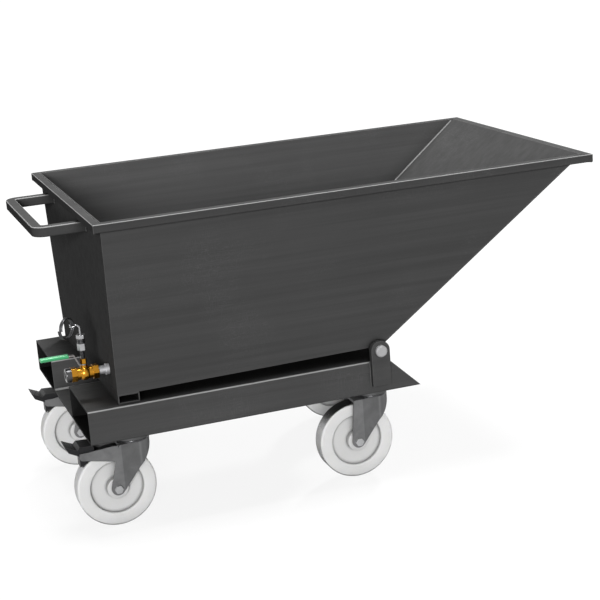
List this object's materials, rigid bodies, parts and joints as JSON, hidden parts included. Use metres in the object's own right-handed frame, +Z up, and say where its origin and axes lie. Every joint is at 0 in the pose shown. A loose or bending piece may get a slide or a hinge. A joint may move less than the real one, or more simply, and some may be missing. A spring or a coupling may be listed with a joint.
{
  "type": "tipping swarf trolley",
  "caption": "Sheet-steel swarf bin with a sloped chute, hinged to tip forward on a fork-pocket base with swivel castors, a drain ball valve and a push handle.",
  "frame": {"origin": "on the floor, midway between the lip and the drain lever's end and midway across the width", "axes": "+X towards the lip, +Y to the left side seen in the direction of +X, +Z up"},
  "size_m": [1.4184, 0.8, 0.792],
  "materials": {
    "paint": "satin anthracite powder coat",
    "zinc": "zinc plated",
    "wheel": "natural polyamide",
    "pedal": "black coated",
    "pin_steel": "turned steel",
    "brass": "cast and machined",
    "chrome": "polished plating",
    "steel": "plain steel",
    "grip": "dipped vinyl sleeve",
    "dark_steel": "blackened steel"
  },
  "bodies": {
    "base": {"fork_pocket_left": "paint", "fork_pocket_right": "paint", "centre_plate": "paint", "front_cross_beam": "paint", "hinge_plate_left": "paint", "hinge_plate_right": "paint", "hinge_pins": "pin_steel", "castor_plate_front_left": "zinc", "castor_plate_front_right": "zinc", "castor_plate_rear_left": "zinc", "castor_plate_rear_right": "zinc", "castor_kingpins": "zinc", "castor_bolts": "zinc"},
    "trough": {"floor_sheet": "paint", "rear_wall": "paint", "chute_sheet": "paint", "side_wall_left": "paint", "side_wall_right": "paint", "rim_left": "paint", "rim_right": "paint", "rim_rear": "paint", "rim_front": "paint", "push_handle": "paint", "foot_tube": "paint", "hinge_lug_left": "paint", "hinge_lug_right": "paint", "drain_nipple": "chrome", "valve_body": "brass", "outlet_fitting": "chrome", "drain_strainer": "steel"},
    "drain_lever": {"valve_ball": "chrome", "valve_stem": "chrome", "valve_lever": "steel", "lever_grip": "grip", "lever_nut": "brass", "catch_sleeve": "chrome", "catch_collar": "dark_steel", "catch_nut": "chrome"},
    "lever_catch": {"catch_pin": "chrome", "catch_ring": "dark_steel"},
    "castor_front_left": {"castor_fork_front_left": "zinc", "castor_axle_front_left": "zinc"},
    "wheel_front_left": {"castor_wheel_front_left": "wheel", "wheel_bush_front_left": "zinc"},
    "castor_front_right": {"castor_fork_front_right": "zinc", "castor_axle_front_right": "zinc"},
    "wheel_front_right": {"castor_wheel_front_right": "wheel", "wheel_bush_front_right": "zinc"},
    "castor_rear_left": {"castor_fork_rear_left": "zinc", "castor_axle_rear_left": "zinc"},
    "wheel_rear_left": {"castor_wheel_rear_left": "wheel", "wheel_bush_rear_left": "zinc"},
    "pedal_rear_left": {"brake_pedal_rear_left": "pedal"},
    "castor_rear_right": {"castor_fork_rear_right": "zinc", "castor_axle_rear_right": "zinc"},
    "wheel_rear_right": {"castor_wheel_rear_right": "wheel", "wheel_bush_rear_right": "zinc"},
    "pedal_rear_right": {"brake_pedal_rear_right": "pedal"}
  },
  "joints": [
    {"name": "trough_tip", "type": "hinge", "parent": "base", "child": "trough", "pos_m": [0.12024, 0, 0.3643], "axis": [0, 1, 0], "range_deg": [0, 60]},
    {"name": "drain_turn", "type": "hinge", "parent": "trough", "child": "drain_lever", "pos_m": [-0.60624, -0.264, 0.4093], "axis": [0, 0, 1], "range_deg": [-90, 0]},
    {"name": "catch_lift", "type": "slide", "parent": "drain_lever", "child": "lever_catch", "axis": [0, 0, 1], "range_m": [0, 0.008]},
    {"name": "swivel_front_left", "type": "hinge", "parent": "base", "child": "castor_front_left", "pos_m": [0.13524, 0.232, 0.219], "axis": [0, 0, 1], "continuous": true},
    {"name": "spin_front_left", "type": "hinge", "parent": "castor_front_left", "child": "wheel_front_left", "pos_m": [0.18924, 0.232, 0.1], "axis": [0, 1, 0], "continuous": true},
    {"name": "swivel_front_right", "type": "hinge", "parent": "base", "child": "castor_front_right", "pos_m": [0.13524, -0.232, 0.219], "axis": [0, 0, 1], "continuous": true},
    {"name": "spin_front_right", "type": "hinge", "parent": "castor_front_right", "child": "wheel_front_right", "pos_m": [0.08124, -0.232, 0.1], "axis": [0, 1, 0], "continuous": true},
    {"name": "swivel_rear_left", "type": "hinge", "parent": "base", "child": "castor_rear_left", "pos_m": [-0.50226, 0.232, 0.219], "axis": [0, 0, 1], "continuous": true},
    {"name": "spin_rear_left", "type": "hinge", "parent": "castor_rear_left", "child": "wheel_rear_left", "pos_m": [-0.55626, 0.232, 0.1], "axis": [0, 1, 0], "continuous": true},
    {"name": "brake_rear_left", "type": "hinge", "parent": "castor_rear_left", "child": "pedal_rear_left", "pos_m": [-0.61426, 0.232, 0.202], "axis": [0, 1, 0], "range_deg": [-8, 0]},
    {"name": "swivel_rear_right", "type": "hinge", "parent": "base", "child": "castor_rear_right", "pos_m": [-0.50226, -0.232, 0.219], "axis": [0, 0, 1], "continuous": true},
    {"name": "spin_rear_right", "type": "hinge", "parent": "castor_rear_right", "child": "wheel_rear_right", "pos_m": [-0.55626, -0.232, 0.1], "axis": [0, 1, 0], "continuous": true},
    {"name": "brake_rear_right", "type": "hinge", "parent": "castor_rear_right", "child": "pedal_rear_right", "pos_m": [-0.61426, -0.232, 0.202], "axis": [0, 1, 0], "range_deg": [-8, 0]}
  ]
}
